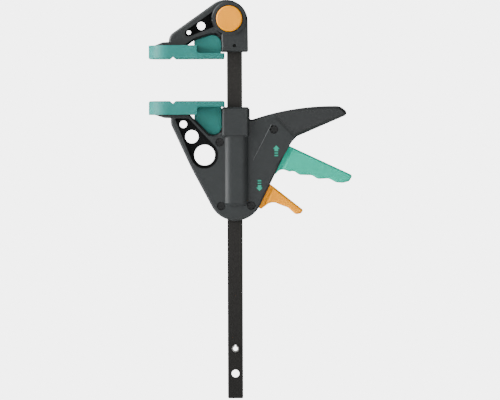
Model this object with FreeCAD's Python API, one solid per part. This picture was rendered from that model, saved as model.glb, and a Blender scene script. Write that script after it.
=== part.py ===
import FreeCAD, Part
import math
import os
from FreeCAD import Placement, Rotation, Vector

# A one-handed bar clamp, in millimetres.
# X runs across from the bar's axis, Y into the clamp from its front, Z up along the bar.
# The reference point is on the bar's axis, level with the fixed jaw's clamping face.
# Names ending in share or shares are ratios of the sizes that they multiply.

# Throat and fits
jaw_gap = 35.7
slide_fit = 0.15
pin_fit = 0.05
part_gap = 0.3
overrun = 1.0
least_edge = 0.001

# Flat steel bar
bar_width = 13.0
bar_thickness = 5.0
bar_below_face = 288.4
bar_corner = 0.8
end_hole_radius = 3.2
end_hole_from_end = 21.1
stop_pin_radius = 3.1
stop_pin_bore = 1.9
stop_pin_slit = 1.0
stop_pin_length = 12.0
stop_pin_from_end = 42.3

# Soft pads, drawn upwards from their clamping face
pad_reach = 73.0
pad_step_share = -0.4384
pad_half_width = 17.0
pad_height = 11.6
pad_wall = 2.2
pad_floor = 3.6
pad_edge = 0.9
strip_height = 4.9
strip_half_width = 9.5
strip_gap_to_bar = 3.3
strip_corner = 1.6
v_groove_from_nose = 20.6
v_groove_half_width = 2.5
v_groove_depth = 2.2
fin_half_width = 5.2
fin_gap = 0.7
fin_left_gap = 2.4
tongue_half_width = 1.5
tongue_depth = 2.2
foot_height = 6.0

# Fixed jaw, a ribbed moulding that the bar enters from below
head_height = 49.9
head_roof = 5.9
head_radius = 18.5
head_wall = 4.6
head_flare = 0.6
head_half_width = 11.6
arm_half_width = 8.0
arm_web_half = 1.6
block_base = 6.0
block_wall = 4.4
jaw_edge = 1.6
block_corner_more = 0.1
head_edge = 1.1
head_crown_share = 1.351
jaw_outline_shares = [
    (-0.764, 0.399, 0.116),
    (-0.764, 0.293, 0.011),
    (-0.836, 0.288, 0.068),
    (-0.948, 0.222, 0.000),
    (-0.948, 0.090, 0.000),
]
jaw_notch_left_share = -0.568
jaw_notch_shares = [
    (0.215, 0.000),
    (0.325, 0.110),
    (0.481, 0.112),
]
jaw_notch_bend_share = -0.466
pocket_shares = [
    (-0.577, 0.471, 0.040),
    (-0.577, 0.355, 0.040),
    (-0.205, 0.562, 0.010),
    (-0.205, 0.858, 0.010),
]
web_holes_shares = [
    (-0.387, 0.565, 0.0475),
    (-0.531, 0.453, 0.0245),
]

# Latch in the fixed jaw: a button, a waisted plunger in a notch of the bar, and a spring
coil_steps = 16
button_shift_share = 0.3273
button_rise = 2.7
button_radius = 11.0
button_play = 0.6
button_travel = 4.6
button_proud = 2.2
button_wall = 1.6
button_skirt = 2.6
button_edge = 0.8
ring_width = 2.4
ring_raise = 1.0
latch_wall = 2.0
plunger_radius = 3.5
plunger_waist = 1.2
plunger_offset = 1.5
plunger_tail = 3.6
plunger_waist_slack = 0.3
stem_thread = 2.4
stem_wall = 1.2
button_wire = 0.8
button_coil_play = 1.0
button_turns = 1.5
grub_radius = 1.5
grub_length = 5.0
grub_height_share = 0.2184
grub_socket = 0.75

# Carriage: two half shells that close round the bar
carriage_height = 101.8
grip_reach = 97.0
shell_half_width = 10.5
shell_edge = 1.5
neck_top = 5.2
neck_wall_left = 4.2
neck_wall_right = 5.7
neck_corner = 1.6
neck_foot_share = 0.163
neck_foot_radius = 2.2
column_half_width = 13.4
column_corner = 2.2
column_wall = 3.15
column_wall_right = 6.35
column_round = 7.05
column_end_share = 0.875
block_half_width = 14.0
block_foot_share = 0.302
housing_right_shares = [
    (0.525, 0.0447, 2.180),
    (0.921, 0.0447, 0.093),
    (1.004, 0.1090, 0.028),
    (0.545, 0.2970, 0.000),
    (0.471, 0.3720, 0.144),
    (0.017, 1.2736, 0.2365),
]
housing_left_shares = [
    (-0.508, 0.5575, 1.640),
    (-0.744, 0.1920, 0.110),
    (-0.744, 0.1415, 0.011),
    (-0.822, 0.1395, 0.068),
    (-0.948, 0.1100, 0.000),
    (-0.948, 0.0440, 0.000),
]
notch_left_share = -0.541
notch_shares = [
    (0.0976, 0.000),
    (0.3940, 0.101),
]
recess_depth = 5.5
recess_shares = [
    (-0.699, 0.145, 0.010),
    (-0.499, 0.494, 0.000),
    (-0.237, 0.372, 0.000),
    (-0.537, 0.145, 0.010),
]
recess_rim = 2.8
arm_holes_shares = [
    (-0.598, 0.193, 0.0431),
    (-0.500, 0.2965, 0.0769),
    (-0.352, 0.450, 0.1199),
]
screw_wall_upper = 3.4
screw_wall_lower = 2.4
screw_depth_shares = (0.3454, 0.8764, 0.8740, 0.2391)
screw_handle_share = 0.342
screw_head_radius = 3.3
screw_head_height = 2.2
screw_head_sink = 0.8
screw_head_play = 0.25
screw_radius = 1.45
screw_reach = 7.0
screw_socket = 1.25
screw_socket_depth = 1.3

# Grip: a soft sleeve over the shells' core
seam_top_share = 0.267
grip_half_width = 11.6
grip_edge = 2.4
grip_core_inset = 3.2
grip_core_half_width = 6.0
swell_height = 0.7
swell_shares = [
    (0.320, 0.196),
    (0.162, 0.490),
    (0.310, 0.600),
    (0.440, 0.440),
    (0.520, 0.310),
    (0.350, 0.145),
]

# Inner space for the mechanism
shell_wall = 1.9
bay_wall = 2.7
nose_room = 2.8
plate_end_room = 0.7
coil_room = 0.5
brake_room = 2.65
brake_side_room = 0.9
brake_drop_room = 1.65
brake_spring_room = 9.9
release_room = 9.55
trigger_room = 1.0

# Trigger, its pin and the drive plates that it pushes down
trigger_place_shares = (0.38144, 0.41012)
trigger_pull = 18.0
trigger_boss = 6.0
trigger_length = 63.0
trigger_half_width = 9.7
trigger_side_gap = 0.5
trigger_root_gap = 3.2
trigger_shoulder = 2.6
trigger_blade_shares = [
    (0.140, -0.058, 0.000),
    (1.000, 0.344, 0.030),
    (0.955, 0.424, 0.060),
    (0.874, 0.447, 0.130),
    (0.780, 0.440, 0.080),
    (0.681, 0.386, 0.080),
    (0.533, 0.393, 0.080),
    (0.452, 0.341, 0.080),
    (0.284, 0.337, 0.080),
    (0.203, 0.279, 0.070),
    (0.150, 0.295, 0.050),
]
trigger_root_shares = [
    (0.032, 0.4324, 0.100),
    (-0.043, 0.5824, 0.008),
    (-0.066, 0.5294, 0.008),
    (-0.066, 0.0529, 0.000),
]
nose_to_bar = 3.7
nose_radius = 2.2
nose_root_share = 0.85
nose_half_width = 5.8
hinge_pin_radius = 2.5
hinge_pin_seat = 1.6
plate_thickness = 2.6
plate_rim_left = 3.1
plate_rim_right = 5.6
plate_side_gap = 1.2
plate_slot_play = 0.3
drive_wire = 1.2
coil_play = 0.74
drive_turns = 3.5
seat_thickness = 1.2
nose_gap = 0.12

# Release lever, its pin, the tilting brake plate and the brake spring
release_place_shares = (0.21443, 0.76081)
release_pull = 13.7
release_boss = 4.8
release_length = 38.0
release_half_width = 8.6
release_side_gap = 1.6
release_root_gap = 2.6
release_shoulder = 2.2
release_outline_shares = [
    (0.247, -0.176, 0.000),
    (0.985, 0.408, 0.046),
    (0.925, 0.480, 0.056),
    (0.808, 0.505, 0.095),
    (0.640, 0.350, 0.105),
    (0.475, 0.290, 0.150),
    (0.280, 0.200, 0.230),
    (0.038, 0.379, 0.012),
    (-0.026, 0.350, 0.012),
    (-0.060, 0.120, 0.000),
]
release_nose_share = 0.35
release_nose_radius = 1.8
release_nose_half_width = 5.4
release_pin_radius = 2.0
brake_plate_thickness = 3.0
brake_rim_left = 7.3
brake_rim_right_share = 0.4685
brake_plate_half_width = 7.0
brake_gap = 0.4
brake_tilt = 5.0
brake_slot_play = 0.5
brake_wire = 1.2
brake_turns = 1.25

half_bar = bar_width / 2
half_thick = bar_thickness / 2
neck_left = -half_bar - neck_wall_left
neck_right = half_bar + neck_wall_right
pad_rear = -half_bar - strip_gap_to_bar
pad_step = pad_step_share * pad_reach
nose_centre = -pad_reach + pad_half_width
foot_top = pad_floor + foot_height
bar_above_face = head_height - head_roof
block_corner = jaw_edge + block_corner_more
grub_height = grub_height_share * head_height
button_x = -half_bar - plunger_offset + button_shift_share * button_radius
button_coil_radius = button_radius - button_wall - button_wire / 2 - button_coil_play
button_height = head_height - head_radius + button_rise

trigger_x = trigger_place_shares[0] * grip_reach
trigger_depth = trigger_place_shares[1] * carriage_height
release_x = release_place_shares[0] * grip_reach
release_depth = release_place_shares[1] * carriage_height
nose_reach = trigger_x - half_bar - nose_to_bar
release_nose_reach = (release_x - half_bar) * (1 - release_nose_share)

bay_half_width = shell_half_width - shell_wall
trigger_root_half_width = bay_half_width - trigger_side_gap
release_root_half_width = bay_half_width - release_side_gap
plate_left = half_bar + plate_rim_left
plate_right = half_bar + plate_rim_right
plate_half_width = bay_half_width - plate_side_gap
bay_left = plate_left + plate_end_room
drive_coil_radius = math.hypot(half_bar, half_thick) + drive_wire / 2 + coil_play
coil_room_radius = drive_coil_radius + drive_wire / 2 + coil_room
brake_plate_left = half_bar + brake_rim_left
brake_plate_right = half_bar + (release_x - half_bar) * brake_rim_right_share
brake_bay_left = brake_plate_left + plate_end_room
brake_bay_half_width = brake_plate_half_width + brake_side_room


def low(depth):
    """Height of a level that lies a depth below the moving jaw's face."""
    return -jaw_gap - depth


def rounded_wire(corners, y):
    """Closed wire in the plane Y = y, with an arc of each corner's own radius.

    A radius is limited by the edges that its arc runs along.
    """
    starts = []
    ends = []
    middles = []
    count = len(corners)
    points = [Vector(x, y, z) for x, z, radius in corners]
    backs = [(points[i - 1] - points[i]).normalize() for i in range(count)]
    aheads = [(points[(i + 1) % count] - points[i]).normalize() for i in range(count)]
    halves = [backs[i].getAngle(aheads[i]) / 2 for i in range(count)]
    runs = [corners[i][2] / math.tan(halves[i]) for i in range(count)]
    for i in range(count):
        here = points[i]
        back = backs[i]
        ahead = aheads[i]
        half = halves[i]
        if runs[i] <= 0:
            starts.append(here)
            ends.append(here)
            middles.append(None)
            continue
        fit = 1
        for neighbour in (i - 1, (i + 1) % count):
            wanted = runs[i] + runs[neighbour]
            fit = min(fit, here.distanceToPoint(points[neighbour]) / wanted)
        run = runs[i] * fit
        radius = corners[i][2] * fit
        starts.append(here + back * run)
        ends.append(here + ahead * run)
        inward = (back + ahead).normalize()
        middles.append(here + inward * (radius / math.sin(half) - radius))
    edges = []
    for i in range(count):
        if middles[i] is not None:
            edges.append(Part.Arc(starts[i], middles[i], ends[i]).toShape())
        following = starts[(i + 1) % count]
        if ends[i].distanceToPoint(following) > least_edge:
            edges.append(Part.LineSegment(ends[i], following).toShape())
    return Part.Wire(edges)


def rounded_face(corners, y=0):
    return Part.Face(rounded_wire(corners, y))


def slab(corners, front, back):
    """Solid with a rounded outline, from Y = front to Y = back."""
    return rounded_face(corners, front).extrude(Vector(0, back - front, 0))


def thick(face, half_width):
    """Solid from a face in the plane Y = 0, thickened to both sides."""
    moved = face.copy()
    moved.translate(Vector(0, -half_width, 0))
    return moved.extrude(Vector(0, half_width + half_width, 0))


def rod(x, z, radius, front, back):
    return Part.makeCylinder(radius, back - front, Vector(x, front, z), Vector(0, 1, 0))


def brick(x_low, x_high, y_low, y_high, z_low, z_high):
    corner = Vector(x_low, y_low, z_low)
    return Part.makeBox(x_high - x_low, y_high - y_low, z_high - z_low, corner)


def bar_space(play, z_low, z_high):
    """Room that the bar passes through, wider than it by a play on each side."""
    wide = half_bar + play
    deep = half_thick + play
    return brick(-wide, wide, -deep, deep, z_low, z_high)


def in_plane(edge, y):
    box = edge.BoundBox
    near = pin_fit
    return abs(box.YMin - y) < near and abs(box.YMax - y) < near


def along_z(edge, least):
    box = edge.BoundBox
    near = pin_fit
    return box.XLength < near and box.YLength < near and box.ZLength > least


def ease_rims(shape, size, levels, keep_off=None):
    """Chamfer the edges that lie at the given levels of Y, but for those that a test keeps sharp."""
    chosen = []
    for edge in shape.Edges:
        flat = [y for y in levels if in_plane(edge, y)]
        middle = edge.CenterOfMass
        if flat and not (keep_off and keep_off(middle)):
            chosen.append(edge)
    return shape.makeChamfer(size, chosen)


def coil(start, axis, radius, wire, height, turns):
    """Wound spring of square wire, as one tube of flat facets along a helix."""
    steps = int(round(turns * coil_steps))
    half = wire / 2
    sections = []
    spine = []
    for i in range(steps + 1):
        angle = 2 * math.pi * i / coil_steps
        level_here = height * i / steps
        outward = Vector(math.cos(angle), math.sin(angle), 0)
        spine.append(outward * radius + Vector(0, 0, level_here))
        section = []
        for side, rise in ((-half, -half), (half, -half), (half, half), (-half, half)):
            section.append(outward * (radius + side) + Vector(0, 0, level_here + rise))
        sections.append(section)
    report_least_gap(spine, wire)
    faces = [flat_face(sections[0]), flat_face(sections[-1])]
    for here, ahead in zip(sections, sections[1:]):
        for k in range(len(here)):
            following = (k + 1) % len(here)
            faces.append(flat_face([here[k], here[following], ahead[following]]))
            faces.append(flat_face([here[k], ahead[following], ahead[k]]))
    tube = Part.makeSolid(Part.makeShell(faces))
    if tube.Volume < 0:
        tube.reverse()
    tube.Placement = Placement(start, Rotation(Vector(0, 0, 1), axis))
    return tube


def flat_face(points):
    return Part.Face(Part.makePolygon(points + points[:1]))


def report_least_gap(spine, wire):
    """Measure on points how close the spring's wire comes to its own other turns, and print it."""
    gaps = []
    for i in range(len(spine)):
        for j in range(i + coil_steps // 2, len(spine)):
            gaps.append(spine[i].distanceToPoint(spine[j]))
    print("least gap of the spring to itself:", round(min(gaps) - wire, 2))


def save(name, shape):
    shape.removeSplitter().exportStep("parts/" + name + ".step")


def make_bar():
    bar = brick(-half_bar, half_bar, -half_thick, half_thick, -bar_below_face, bar_above_face)
    ends = [e for e in bar.Edges if e.BoundBox.YLength > half_thick and abs(e.CenterOfMass.x) > half_thick]
    bar = bar.makeChamfer(bar_corner, ends)
    hole_z = -bar_below_face + end_hole_from_end
    pin_z = -bar_below_face + stop_pin_from_end
    bar = bar.cut(rod(0, hole_z, end_hole_radius, -bar_thickness, bar_thickness))
    bar = bar.cut(rod(0, pin_z, stop_pin_radius, -bar_thickness, bar_thickness))
    notch_radius = plunger_radius + pin_fit
    return bar.cut(rod(plunger_x(), button_height, notch_radius, -bar_thickness, bar_thickness))


def make_stop_pin():
    """Slotted spring pin across the bar's lower end, proud on both faces."""
    z = -bar_below_face + stop_pin_from_end
    half = stop_pin_length / 2
    pin = rod(0, z, stop_pin_radius, -half, half)
    pin = pin.cut(rod(0, z, stop_pin_bore, -stop_pin_length, stop_pin_length))
    slit = stop_pin_slit / 2
    return pin.cut(brick(-slit, slit, -stop_pin_length, stop_pin_length, z, z + stop_pin_radius + overrun))


def jaw_notch():
    """Outline of the fixed jaw's notch for the pad's fin, from the pad's strip up."""
    right = neck_left
    left = jaw_notch_left_share * pad_reach
    start, bend, top = jaw_notch_shares
    return [
        (right, 0, 0),
        (left, 0, 0),
        (left, start[0] * head_height, 0),
        (jaw_notch_bend_share * pad_reach, bend[0] * head_height, bend[1] * pad_reach),
        (right, top[0] * head_height, top[1] * pad_reach),
    ]


def carriage_notch():
    """Outline of the carriage's notch for the pad's fin, measured from the pad's face."""
    right = neck_left
    left = notch_left_share * pad_reach
    start, low_corner = notch_shares
    return [
        (right, 0, 0),
        (left, 0, 0),
        (left, start[0] * carriage_height, 0),
        (right, low_corner[0] * carriage_height, low_corner[1] * pad_reach),
    ]


def fin_left():
    return pad_step - fin_left_gap


def fin_blank(notch, grow, half_width):
    """Notch outline grown by a distance, kept to the right of the fin's front edge."""
    face = rounded_face(notch).makeOffset2D(grow)
    solid = thick(face, half_width)
    height = face.BoundBox.ZMax + overrun
    keep = brick(fin_left(), 0, -half_width, half_width, block_base, height)
    return solid.common(keep)


def make_pad(notch):
    """Pad with a skirt round the foot, a step, a rear strip, and a fin with its tongue."""
    nose = rod_z(nose_centre, pad_half_width, 0, pad_height)
    wide = nose.fuse(brick(nose_centre, pad_step, -pad_half_width, pad_half_width, 0, pad_height))
    wide = wide.removeSplitter()
    wide = wide.makeChamfer(pad_edge, [e for e in wide.Edges if level(e, 0)])
    inner = pad_half_width - pad_wall
    room = rod_z(nose_centre, inner, pad_floor, pad_height + overrun)
    room_end = pad_step - pad_wall
    room = room.fuse(brick(nose_centre, room_end, -inner, inner, pad_floor, pad_height + overrun))
    strip = brick(pad_step - overrun, pad_rear, -strip_half_width, strip_half_width, 0, strip_height)
    tail = [e for e in strip.Edges if abs(e.CenterOfMass.x - pad_rear) < pin_fit]
    strip = strip.makeFillet(strip_corner, [e for e in tail if e.BoundBox.ZLength > pin_fit])
    strip = strip.makeChamfer(pad_edge, [e for e in strip.Edges if level(e, 0) and e.CenterOfMass.x > pad_step])
    corner = slab([
        (pad_step - overrun, strip_height, 0),
        (pad_step + strip_corner, strip_height, 0),
        (pad_step, strip_height + strip_corner, 0),
        (pad_step - overrun, strip_height + strip_corner, 0),
    ], -strip_half_width, strip_half_width)
    corner = corner.cut(rod(pad_step + strip_corner, strip_height + strip_corner, strip_corner,
                            -pad_half_width, pad_half_width))
    fin = fin_blank(notch, -fin_gap, fin_half_width)
    web = brick(fin_left(), neck_left - fin_gap, -fin_half_width, fin_half_width, pad_floor, block_base)
    tongue = fin_blank(notch, tongue_depth, tongue_half_width)
    pad = wide.fuse([strip, corner, web, fin, tongue]).cut(room)
    groove_x = -pad_reach + v_groove_from_nose
    groove = slab([
        (groove_x - v_groove_half_width, 0, 0),
        (groove_x, v_groove_depth, 0),
        (groove_x + v_groove_half_width, 0, 0),
    ], -pad_reach, pad_reach)
    return pad.cut(groove)


def rod_z(x, radius, z_low, z_high):
    return Part.makeCylinder(radius, z_high - z_low, Vector(x, 0, z_low))


def level(edge, z):
    box = edge.BoundBox
    return abs(box.ZMin - z) < pin_fit and abs(box.ZMax - z) < pin_fit


def foot_column(right, z_low, z_high):
    """Plan of the pad's inside, round at the nose, as a column from one level to another."""
    radius = pad_half_width - pad_wall - part_gap
    nose = rod_z(nose_centre, radius, z_low, z_high)
    return nose.fuse(brick(nose_centre, right, -radius, radius, z_low, z_high))


def make_foot(notch_left):
    """Plate with a round nose that fills the pad's skirt."""
    return foot_column(notch_left, pad_floor, foot_top)


def jaw_corners():
    right = half_bar + head_wall
    flared = right + head_flare
    corners = [
        (flared, block_base, block_corner),
        (right, head_crown_share * head_height, head_radius),
    ]
    for x, z, r in jaw_outline_shares:
        corners.append((x * pad_reach, z * head_height, r * pad_reach))
    notch = jaw_notch()
    base = jaw_outline_shares[-1][1] * head_height
    corners.append((notch[1][0], base, 0))
    corners.extend(notch[2:])
    corners.append((neck_left, block_base, 0))
    return corners


def make_fixed_jaw():
    """Ribbed arm with its web, the thick head round the bar, and the button's housing."""
    corners = jaw_corners()
    arm = thick(rounded_face(corners), arm_half_width)
    arm = ease_rims(arm, jaw_edge, [-arm_half_width, arm_half_width], low_foot)
    arm = arm.common(foot_column(pad_reach, 0, head_height + head_radius))
    faces = [-head_half_width, head_half_width]
    whole = ease_rims(thick(rounded_face(corners), head_half_width), head_edge, faces)
    disc_radius = button_radius + button_play + ring_width + ring_raise
    disc = rod(button_x, button_height, disc_radius, -head_half_width, head_half_width)
    wall_left = -half_bar - block_wall
    block = brick(wall_left, pad_reach, -head_half_width, head_half_width, block_base, button_height)
    head = ease_rims(disc, head_edge, faces).fuse(ease_rims(block, head_edge, faces)).common(whole)
    ring_front = -head_half_width - ring_raise
    ring = rod(button_x, button_height, disc_radius - ring_raise, ring_front, 0)
    jaw = arm.fuse([head, ring, make_foot(jaw_notch()[1][0])])
    jaw = jaw.cut(jaw_pockets(disc_radius))
    for x, z, r in web_holes_shares:
        jaw = jaw.cut(rod(x * pad_reach, z * head_height, r * pad_reach, -pad_reach, pad_reach))
    jaw = jaw.cut(bar_space(slide_fit, 0, bar_above_face + part_gap))
    jaw = jaw.cut(latch_space())
    jaw = jaw.cut(rod(0, grub_height, grub_radius, -pad_reach, 0))
    groove = fin_blank(jaw_notch(), tongue_depth + part_gap, tongue_half_width + part_gap)
    return jaw.cut(groove)


def low_foot(point):
    return point.z < foot_top and point.x < neck_left - overrun


def jaw_pockets(disc_radius):
    """The two deep pockets either side of the arm's web, clear of the button's ring."""
    corners = [(x * pad_reach, z * head_height, r * pad_reach) for x, z, r in pocket_shares]
    front = slab(corners, -arm_half_width - overrun, -arm_web_half)
    back = slab(corners, arm_web_half, arm_half_width + overrun)
    disc = rod(button_x, button_height, disc_radius, -pad_reach, pad_reach)
    return front.fuse(back).cut(disc)


def plunger_x():
    return -half_bar - plunger_offset


def latch_floor():
    return -half_thick - slide_fit - latch_wall


def plunger_step():
    """Level of Y where the plunger's waist ends and its full diameter begins."""
    return half_thick + plunger_waist_slack - button_travel


def latch_space():
    """The button's bore and the plunger's guide through the head."""
    front = -head_half_width - ring_raise - overrun
    bore = rod(button_x, button_height, button_radius + button_play, front, latch_floor())
    guide = rod(plunger_x(), button_height, plunger_radius + pin_fit, front, head_half_width + overrun)
    return bore.fuse(guide)


def button_face():
    return -head_half_width - button_proud


def make_button():
    """Domed cap with a skirt, and a boss behind it that takes the plunger's stem."""
    face = button_face()
    back = face + button_wall + button_skirt
    cap = rod(button_x, button_height, button_radius, face, back)
    cap = ease_rims(cap, button_edge, [face])
    hollow = rod(button_x, button_height, button_radius - button_wall, face + button_wall, back + overrun)
    cap = cap.cut(hollow)
    boss = rod(plunger_x(), button_height, plunger_waist + stem_wall, face + overrun, back)
    bore = rod(plunger_x(), button_height, plunger_waist, back - stem_thread, back + overrun)
    return cap.fuse(boss).cut(bore)


def make_plunger():
    """Steel plunger: a thin waist that frees the bar, and a full part that locks it."""
    back = button_face() + button_wall + button_skirt
    stem = rod(plunger_x(), button_height, plunger_waist, back - stem_thread, plunger_step() + overrun)
    tail_end = half_thick + plunger_tail
    body = rod(plunger_x(), button_height, plunger_radius, plunger_step() + pin_fit, tail_end)
    return stem.fuse(body)


def make_button_spring():
    lead = button_wire / 2
    front = button_face() + button_wall + lead
    height = latch_floor() - lead - front
    return coil(Vector(button_x, front, button_height), Vector(0, 1, 0),
                button_coil_radius, button_wire, height, button_turns)


def make_grub_screw():
    """Socket set screw that takes up the bar's play in the jaw."""
    tip = -half_thick
    head = tip - grub_length
    screw = rod(0, grub_height, grub_radius, head, tip)
    return screw.cut(hexagon(0, grub_height, grub_socket, head - overrun, head + grub_radius))


def hexagon(x, z, radius, front, back):
    corners = []
    for i in range(6):
        angle = math.radians(60 * i)
        corners.append((x + radius * math.cos(angle), z + radius * math.sin(angle), 0))
    return slab(corners, front, back)


def housing_corners():
    """Outline of the closed housing with its grip, notch and foot."""
    corners = [
        (neck_left, low(neck_top), neck_corner),
        (neck_right, low(neck_top), neck_corner),
        (neck_right, low(neck_foot_share * carriage_height), neck_foot_radius),
    ]
    for x, depth, r in housing_right_shares:
        corners.append((x * grip_reach, low(depth * carriage_height), r * grip_reach))
    for x, depth, r in housing_left_shares:
        corners.append((x * pad_reach, low(depth * carriage_height), r * pad_reach))
    notch = carriage_notch()
    base = housing_left_shares[-1][1] * carriage_height
    corners.append((notch[1][0], low(base), 0))
    for x, depth, r in notch[2:]:
        corners.append((x, low(depth), r))
    return corners


def seam_points():
    """Ends of the sloping seam between the housing and the grip."""
    top = Vector(seam_top_share * grip_reach, 0, low(housing_right_shares[0][1] * carriage_height))
    foot_share, foot_depth, _ = housing_right_shares[3]
    foot = Vector(foot_share * grip_reach, 0, low(foot_depth * carriage_height))
    return top, foot


def grip_side(shift):
    """Large slab on the grip's side of the seam, moved off the seam by a distance."""
    top, foot = seam_points()
    along = (foot - top).normalize()
    out = Vector(-along.z, 0, along.x)
    if out.x < 0:
        out = out * -1
    start = top - along * pad_reach + out * shift
    end = foot + along * pad_reach + out * shift
    far_end = end + out * grip_reach
    far_start = start + out * grip_reach
    corners = [(p.x, p.z, 0) for p in (start, end, far_end, far_start)]
    return slab(corners, -pad_reach, pad_reach)


def right_edge_x(depth):
    """X of the housing's sloping right edge at a depth."""
    top_x, top_depth, _ = housing_right_shares[4]
    end_x, end_depth, _ = housing_right_shares[5]
    fraction = (depth / carriage_height - top_depth) / (end_depth - top_depth)
    return (top_x + (end_x - top_x) * fraction) * grip_reach


def make_housing():
    """Whole closed housing, from which the two shells are split."""
    corners = housing_corners()
    outline = rounded_face(corners)
    body = thick(outline, shell_half_width).cut(grip_side(0))
    body = ease_rims(body, shell_edge, [-shell_half_width, shell_half_width], off_body_rim)
    swell = make_swell()
    body = body.fuse([swell, swell.mirror(Vector(0, 0, 0), Vector(0, 1, 0))])
    body = body.fuse([make_column(), make_block()])
    foot = make_foot(carriage_notch()[1][0]).mirror(Vector(0, 0, 0), Vector(0, 0, 1))
    foot.translate(Vector(0, 0, -jaw_gap))
    body = body.common(foot_column(grip_reach, low(carriage_height + overrun), low(0)))
    core_face = outline.makeOffset2D(-grip_core_inset)
    core = thick(core_face, grip_core_half_width).common(grip_side(-overrun))
    body = body.fuse([foot, core])
    body = body.cut(arm_recesses())
    for x, depth, r in arm_holes_shares:
        body = body.cut(rod(x * pad_reach, low(depth * carriage_height), r * pad_reach, -pad_reach, pad_reach))
    body = body.cut(fin_groove())
    body = body.cut(mechanism_space())
    return body.cut(bar_space(slide_fit, low(carriage_height + overrun), low(0)))


def off_body_rim(point):
    """True on rims that stay sharp: the foot, the notch's block side and the seam."""
    top, foot = seam_points()
    along = (foot - top).normalize()
    offset = (point - Vector(top.x, point.y, top.z)).cross(along)
    on_seam = abs(offset.y) < part_gap
    in_foot = point.z > low(foot_top + part_gap) and point.x < neck_left - overrun
    return on_seam or in_foot


def make_swell():
    """Flank swell whose crease fades out downwards."""
    corners = [(x * grip_reach, low(depth * carriage_height), 0) for x, depth in swell_shares]
    rear = -shell_half_width + overrun
    front = -shell_half_width - swell_height
    prism = slab(corners, front, rear)
    fade_a = Vector(corners[1][0], -shell_half_width, corners[1][1])
    fade_b = Vector(corners[2][0], -shell_half_width, corners[2][1])
    peak = Vector(corners[0][0], front, corners[0][1])
    normal = (fade_b - fade_a).cross(peak - fade_a).normalize()
    if normal.y > 0:
        normal = normal * -1
    cutter = brick(-grip_reach, grip_reach, -grip_reach, grip_reach, 0, grip_reach)
    cutter.Placement = Placement(fade_a, Rotation(Vector(0, 0, 1), normal)).multiply(cutter.Placement)
    return prism.cut(cutter)


def make_column():
    """Raised column over the spring, with rounded long sides, on both faces."""
    left = -half_bar - column_wall
    right = half_bar + column_wall_right
    foot = low(column_end_share * carriage_height)
    top = low(neck_top + neck_corner)
    column = brick(left, right, -column_half_width, column_half_width, foot, top)
    long_edges = [e for e in column.Edges if along_z(e, column_corner)]
    column = column.makeFillet(column_round, long_edges)
    ends = [e for e in column.Edges if abs(e.CenterOfMass.z - foot) < pin_fit]
    return column.makeChamfer(column_corner, ends)


def make_block():
    """Raised block round the bar's way in, above the column."""
    foot = low(block_foot_share * carriage_height)
    block = brick(neck_left, neck_right, -block_half_width, block_half_width, foot, low(neck_top))
    long_edges = [e for e in block.Edges if along_z(e, column_corner)]
    block = block.makeFillet(column_corner, long_edges)
    rims = [e for e in block.Edges if abs(e.CenterOfMass.z - foot) < pin_fit]
    rims += [e for e in block.Edges if abs(e.CenterOfMass.z - low(neck_top)) < pin_fit]
    return block.makeChamfer(jaw_edge, rims)


def arm_recesses():
    """Recess round the arm's three holes, on both faces."""
    corners = [(x * pad_reach, low(depth * carriage_height), r * pad_reach) for x, depth, r in recess_shares]
    x, depth, r = arm_holes_shares[-1]
    rim = r * pad_reach + recess_rim
    floor = shell_half_width - recess_depth
    outer = shell_half_width + overrun
    cuts = []
    for front, back in ((-outer, -floor), (floor, outer)):
        cuts.append(slab(corners, front, back))
        cuts.append(rod(x * pad_reach, low(depth * carriage_height), rim, front, back))
    return cuts[0].fuse(cuts[1:])


def fin_groove():
    groove = fin_blank(carriage_notch(), tongue_depth + part_gap, tongue_half_width + part_gap)
    groove = groove.mirror(Vector(0, 0, 0), Vector(0, 0, 1))
    groove.translate(Vector(0, 0, -jaw_gap))
    return groove


def screw_places():
    """Places of the housing screws: beside the coil's room, before the release lever, in the handle."""
    between = (coil_room_radius + release_x - release_boss / 2) / 2
    across = (
        -coil_room_radius - screw_wall_upper,
        -coil_room_radius - screw_wall_lower,
        between,
        screw_handle_share * grip_reach,
    )
    return [(across[i], screw_depth_shares[i] * carriage_height) for i in range(len(across))]


def mechanism_space():
    """Room for the plates, springs and levers, open at the right edge for both levers."""
    drive = brick(-bay_left, plate_right + overrun, -bay_half_width, bay_half_width,
                  low(bay_seat()), low(bay_top()))
    drive_round = rod_z(0, coil_room_radius, low(bay_seat()), low(bay_top()))
    brake = brick(-brake_bay_left, brake_plate_right + overrun, -brake_bay_half_width, brake_bay_half_width,
                  low(brake_bay_foot()), low(brake_bay_top()))
    brake_round = rod_z(0, coil_room_radius, low(brake_floor()), low(brake_bay_top()))
    return drive.fuse([drive_round, brake, brake_round, trigger_space(), release_space()])


def trigger_space():
    boss = trigger_boss + trigger_room
    top = trigger_depth - boss - overrun
    foot = bay_seat() - seat_thickness
    corners = [
        (half_bar + overrun, low(bay_top()), 0),
        (trigger_x, low(top), 0),
        (right_edge_x(top) + boss, low(top), 0),
        (right_edge_x(foot) + boss, low(foot), 0),
        (trigger_x - boss, low(foot), 0),
        (trigger_x - boss - overrun, low(trigger_depth + boss), 0),
        (half_bar + overrun, low(trigger_depth + boss + overrun), 0),
    ]
    return slab(corners, -bay_half_width, bay_half_width)


def release_space():
    boss = release_boss + overrun
    top = release_depth - release_room
    foot = brake_floor() - overrun
    corners = [
        (half_bar + overrun, low(brake_bay_top()), 0),
        (release_x, low(top), 0),
        (right_edge_x(top) + boss, low(top), 0),
        (right_edge_x(foot) + boss, low(foot), 0),
        (release_x - release_nose_radius, low(foot), 0),
        (release_x - boss / 2, low(brake_bay_foot()), 0),
        (half_bar + overrun, low(brake_bay_foot()), 0),
    ]
    return slab(corners, -bay_half_width, bay_half_width)


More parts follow.
